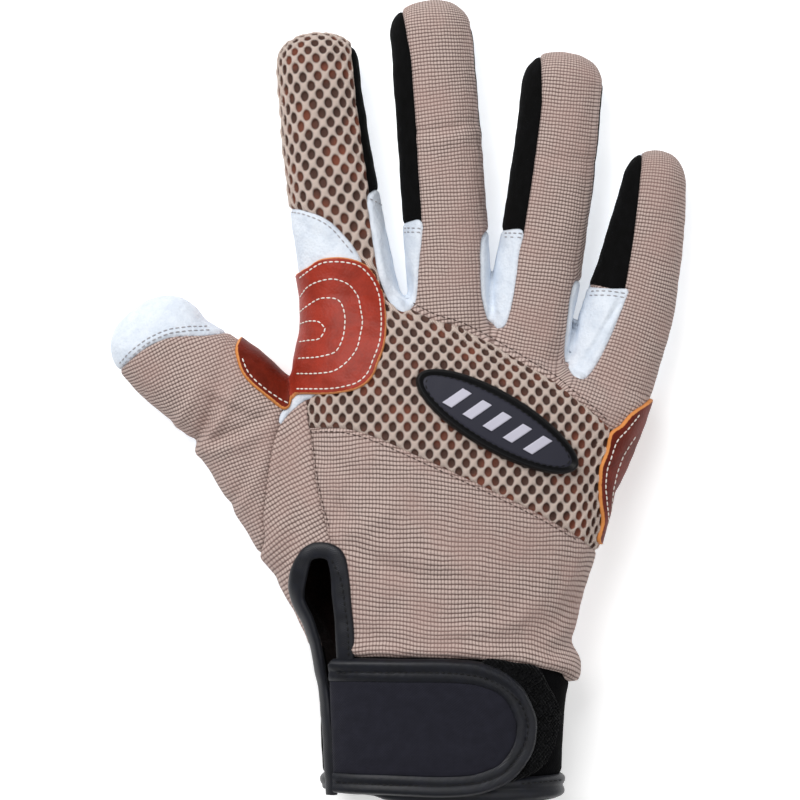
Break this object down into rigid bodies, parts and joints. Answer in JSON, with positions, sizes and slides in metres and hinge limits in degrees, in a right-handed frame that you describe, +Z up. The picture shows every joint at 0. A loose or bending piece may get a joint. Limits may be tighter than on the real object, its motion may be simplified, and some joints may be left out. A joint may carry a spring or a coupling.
{
  "type": "climbing glove",
  "caption": "Right-hand climbing glove with woven and mesh back, white leather palm, brown wear patches and a hook-and-loop wrist strap, lying palm down.",
  "frame": {"origin": "middle of the glove's outline, on the surface that it lies on", "axes": "+Y along the middle finger away from the wrist, +Z up out of the back of the hand, thumb towards -X"},
  "size_m": [0.1792, 0.2514, 0.0384],
  "materials": {
    "spacer_mesh": "matt",
    "woven_fabric": "matt",
    "white_leather": "satin",
    "brown_leather": "satin",
    "stretch_fabric": "matt",
    "moulded_rubber": "satin",
    "webbing": "matt",
    "binding_tape": "satin",
    "loop_tape": "matt"
  },
  "bodies": {
    "root": {"mesh_index_and_knuckles": "spacer_mesh", "woven_three_fingers": "woven_fabric", "woven_hand_back": "woven_fabric", "woven_gusset": "woven_fabric", "woven_thumb_back": "woven_fabric", "thumb_cap": "white_leather", "palm_leather": "white_leather", "index_side_leather": "white_leather", "crotch_index_middle": "white_leather", "crotch_middle_ring": "white_leather", "crotch_ring_little": "white_leather", "index_side_strip": "stretch_fabric", "middle_thumbward_strip": "stretch_fabric", "middle_outward_strip": "stretch_fabric", "ring_thumbward_strip": "stretch_fabric", "ring_outward_strip": "stretch_fabric", "little_side_strip": "stretch_fabric", "patch_index": "brown_leather", "patch_thumb": "brown_leather", "patch_outer_edge": "brown_leather", "badge": "moulded_rubber", "cuff_band": "webbing", "cuff_hem": "binding_tape", "slit_binding": "binding_tape", "strap_panel": "webbing", "strap_binding": "binding_tape", "loop_patch": "loop_tape"}
  },
  "joints": []
}
